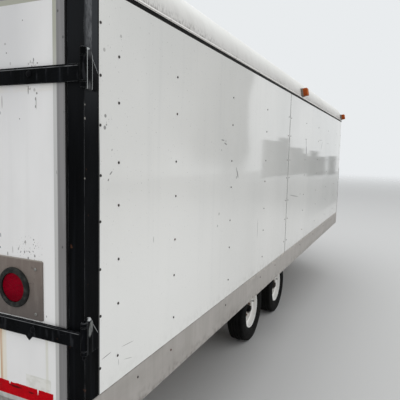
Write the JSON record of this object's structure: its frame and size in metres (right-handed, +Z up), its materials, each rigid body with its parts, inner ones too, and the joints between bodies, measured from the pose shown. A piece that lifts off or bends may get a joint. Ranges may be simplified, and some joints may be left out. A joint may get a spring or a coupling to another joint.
{
  "type": "enclosed snowmobile trailer",
  "caption": "Enclosed V-nose trailer with white panelled body, coved roof, swinging rear doors, tandem wheels, A-frame tongue and jack.",
  "frame": {"origin": "bottom centre of the whole trailer, on the ground", "axes": "+Y forward towards the coupler, +X to the trailer's right, +Z up"},
  "size_m": [2.6986, 7.516, 2.278],
  "materials": {
    "skin_white": "glossy white sheet",
    "roof_white": "glossy white, streaked",
    "rail_grey": "mill finish, dirty",
    "trim_aluminium": "mill finish",
    "edge_trim": "dark band with bright lip",
    "post_black": "black semi-gloss",
    "chassis_black": "black, road dust",
    "spring_steel": "dark, rusty edges",
    "zinc_steel": "zinc plated",
    "coupler_zinc": "zinc plated",
    "jack_zinc": "zinc plated",
    "plywood": "worn plywood",
    "lens_red": "dark red lens",
    "lens_amber": "amber lens",
    "rubber_black": "matt black",
    "lamp_plate_steel": "stained brushed steel",
    "tyre": "black rubber",
    "rim_white": "white steel wheel",
    "hub_black": "black hub"
  },
  "bodies": {
    "trailer": {"axles": "chassis_black", "coupler": "coupler_zinc", "cross_members": "chassis_black", "floor_deck": "plywood", "hinge_butts": "post_black", "leaf_springs": "spring_steel", "lock_keepers": "zinc_steel", "main_rails": "chassis_black", "marker_lamps_amber": "lens_amber", "marker_lamps_red": "lens_red", "nose_cap": "trim_aluminium", "nose_cove": "roof_white", "nose_panels": "skin_white", "nose_rail": "rail_grey", "nose_trim": "edge_trim", "rear_header": "post_black", "rear_posts": "post_black", "rear_sill": "rail_grey", "rock_guard": "trim_aluminium", "roof_bows": "rail_grey", "roof_sheet": "roof_white", "side_coves": "roof_white", "side_panels_front": "skin_white", "side_panels_rear": "skin_white", "side_rails": "rail_grey", "side_trims": "edge_trim", "tongue_frame": "chassis_black", "tongue_jack": "jack_zinc"},
    "door_right": {"door_right_frame": "trim_aluminium", "door_right_panel": "skin_white", "door_right_straps": "post_black", "door_right_lamp_plate": "lamp_plate_steel", "door_right_lamp_grommet": "rubber_black", "door_right_lamp_lens": "lens_red", "door_right_lock_rod": "zinc_steel"},
    "door_left": {"door_left_frame": "trim_aluminium", "door_left_panel": "skin_white", "door_left_straps": "post_black", "door_left_lamp_plate": "lamp_plate_steel", "door_left_lamp_grommet": "rubber_black", "door_left_lamp_lens": "lens_red", "door_left_lock_rod": "zinc_steel"},
    "wheel_right_rear": {"wheel_right_rear_tyre": "tyre", "wheel_right_rear_rim": "rim_white", "wheel_right_rear_hub": "hub_black"},
    "wheel_right_front": {"wheel_right_front_tyre": "tyre", "wheel_right_front_rim": "rim_white", "wheel_right_front_hub": "hub_black"},
    "wheel_left_rear": {"wheel_left_rear_tyre": "tyre", "wheel_left_rear_rim": "rim_white", "wheel_left_rear_hub": "hub_black"},
    "wheel_left_front": {"wheel_left_front_tyre": "tyre", "wheel_left_front_rim": "rim_white", "wheel_left_front_hub": "hub_black"}
  },
  "joints": [
    {"name": "door_right_swing", "type": "hinge", "parent": "trailer", "child": "door_right", "pos_m": [1.305, -3.715, 1.4], "axis": [0, 0, 1], "range_deg": [0, 265]},
    {"name": "door_left_swing", "type": "hinge", "parent": "trailer", "child": "door_left", "pos_m": [-1.305, -3.715, 1.4], "axis": [0, 0, -1], "range_deg": [0, 265]},
    {"name": "wheel_right_rear_spin", "type": "hinge", "parent": "trailer", "child": "wheel_right_rear", "pos_m": [0.9325, -1.119, 0.27], "axis": [1, 0, 0], "continuous": true},
    {"name": "wheel_right_front_spin", "type": "hinge", "parent": "trailer", "child": "wheel_right_front", "pos_m": [0.9325, -0.319, 0.27], "axis": [1, 0, 0], "continuous": true},
    {"name": "wheel_left_rear_spin", "type": "hinge", "parent": "trailer", "child": "wheel_left_rear", "pos_m": [-0.9325, -1.119, 0.27], "axis": [1, 0, 0], "continuous": true},
    {"name": "wheel_left_front_spin", "type": "hinge", "parent": "trailer", "child": "wheel_left_front", "pos_m": [-0.9325, -0.319, 0.27], "axis": [1, 0, 0], "continuous": true}
  ]
}
